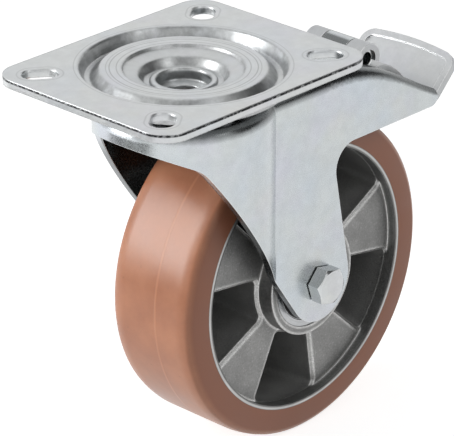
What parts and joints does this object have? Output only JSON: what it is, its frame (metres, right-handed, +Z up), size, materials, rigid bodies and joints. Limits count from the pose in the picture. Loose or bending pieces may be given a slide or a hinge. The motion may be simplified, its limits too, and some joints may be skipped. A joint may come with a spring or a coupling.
{
  "type": "swivel castor",
  "caption": "Swivel plate castor with a pressed steel fork, a polyurethane-treaded aluminium wheel and a trailing pedal that brakes the wheel and locks the swivel.",
  "frame": {"origin": "on the swivel axis, in the top face of the plate", "axes": "+X the way the wheel trails behind the swivel axis, +Y along the wheel's axle towards the nut, +Z up out of the plate's top face"},
  "size_m": [0.2294, 0.11, 0.197],
  "materials": {
    "zinc_plate": "satin zinc plating",
    "zinc_fork": "bright zinc plating with faint tints",
    "zinc_pedal": "even satin zinc plating",
    "zinc_bright": "bright zinc plating",
    "bearing_steel": "ground steel",
    "spring_steel": "blued spring steel",
    "seal_rubber": "matt black",
    "brake_rubber": "matt black",
    "tread_polyurethane": "smooth cast polyurethane with a soft sheen",
    "cast_aluminium": "raw die casting with machined edges"
  },
  "bodies": {
    "base": {"top_plate": "zinc_plate", "king_pin": "zinc_plate", "thrust_washer": "bearing_steel", "lock_ring": "zinc_plate"},
    "ball_ring": {"race_balls": "bearing_steel"},
    "fork_frame": {"fork": "zinc_fork", "brake_carrier": "zinc_fork", "pedal_pin": "zinc_bright", "lever_pin": "zinc_bright", "return_spring": "spring_steel", "spring_rivets": "zinc_bright", "axle_bolt": "zinc_bright", "axle_nut": "zinc_bright", "axle_tube": "bearing_steel", "side_spacers": "zinc_bright", "centre_spacer": "bearing_steel", "bearing_inner_rings": "bearing_steel"},
    "wheel": {"tread": "tread_polyurethane", "wheel_centre": "cast_aluminium", "bearing_outer_rings": "bearing_steel", "bearing_seals": "seal_rubber"},
    "pedal": {"brake_pedal": "zinc_pedal", "brake_pad": "brake_rubber", "pad_rivets": "zinc_bright"},
    "lock": {"lock_lever": "zinc_plate"}
  },
  "joints": [
    {"name": "swivel", "type": "hinge", "parent": "base", "child": "fork_frame", "pos_m": [0, 0, 0], "axis": [0, 0, 1], "continuous": true},
    {"name": "ball_roll", "type": "hinge", "parent": "base", "child": "ball_ring", "pos_m": [0, 0, 0], "axis": [0, 0, 1], "continuous": true},
    {"name": "wheel_spin", "type": "hinge", "parent": "fork_frame", "child": "wheel", "pos_m": [0.056, 0, -0.117], "axis": [0, 1, 0], "continuous": true},
    {"name": "pedal_press", "type": "hinge", "parent": "fork_frame", "child": "pedal", "pos_m": [0.1065, 0, -0.024], "axis": [0, 1, 0], "range_deg": [0, 25]},
    {"name": "lock_lift", "type": "hinge", "parent": "fork_frame", "child": "lock", "pos_m": [0.062, 0, -0.028], "axis": [0, 1, 0], "range_deg": [0, 5.8], "deforming": ["return_spring"]}
  ],
  "couplings": [
    {"joint": "ball_roll", "follows": "swivel", "ratio": 0.5},
    {"joint": "lock_lift", "follows": "pedal_press", "ratio": 0.228}
  ]
}
